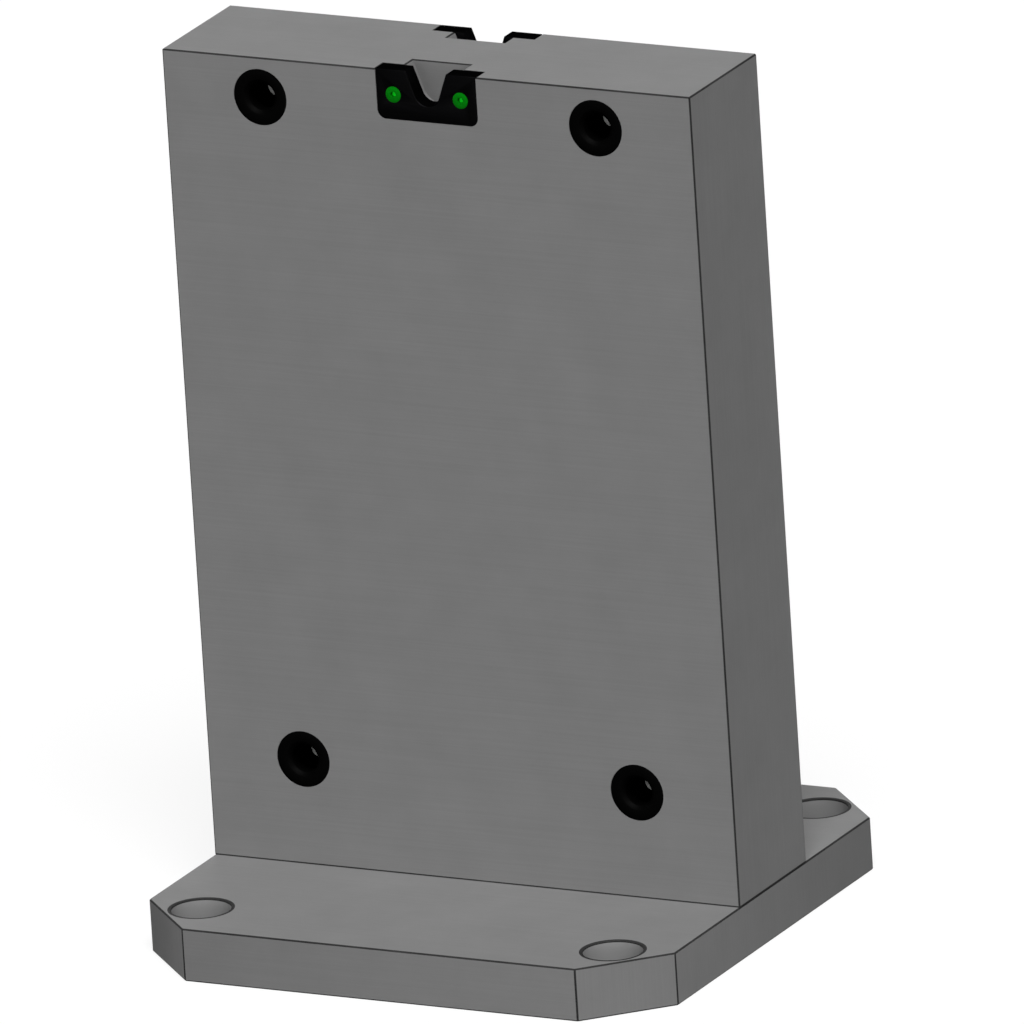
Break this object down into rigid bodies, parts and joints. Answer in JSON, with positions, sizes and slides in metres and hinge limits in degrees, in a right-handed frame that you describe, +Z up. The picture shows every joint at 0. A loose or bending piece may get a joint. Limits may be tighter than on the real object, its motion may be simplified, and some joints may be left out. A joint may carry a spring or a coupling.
{
  "type": "fixture column",
  "caption": "Two-sided fixture column: a flat cast-iron block on a chamfered base plate, with flush round receivers for quick-change plates and a V-notched hanging bracket on each side.",
  "frame": {"origin": "centre of the base plate's underside", "axes": "+Z up, the front face with the front V bracket faces -Y, +X to the right as seen from the front"},
  "size_m": [0.4, 0.4, 0.6135],
  "materials": {
    "cast_iron_base": "fine ground",
    "cast_iron_column": "fine ground",
    "receiver_steel": "black oxide",
    "bracket_steel": "black oxide",
    "receiver_screw_steel": "zinc plated",
    "green_screw": "green coated",
    "column_screw_steel": "black oxide",
    "dowel_steel": "ground"
  },
  "bodies": {
    "root": {"base_plate": "cast_iron_base", "column_block": "cast_iron_column", "front_upper_receivers": "receiver_steel", "front_upper_receiver_screws": "receiver_screw_steel", "front_lower_receivers": "receiver_steel", "front_lower_receiver_screws": "receiver_screw_steel", "front_v_bracket": "bracket_steel", "front_left_bracket_screw": "green_screw", "front_right_bracket_screw": "green_screw", "front_column_screws": "column_screw_steel", "back_upper_receivers": "receiver_steel", "back_upper_receiver_screws": "receiver_screw_steel", "back_lower_receivers": "receiver_steel", "back_lower_receiver_screws": "receiver_screw_steel", "back_v_bracket": "bracket_steel", "back_left_bracket_screw": "green_screw", "back_right_bracket_screw": "green_screw", "back_column_screws": "column_screw_steel", "left_dowel": "dowel_steel", "right_dowel": "dowel_steel"}
  },
  "joints": []
}
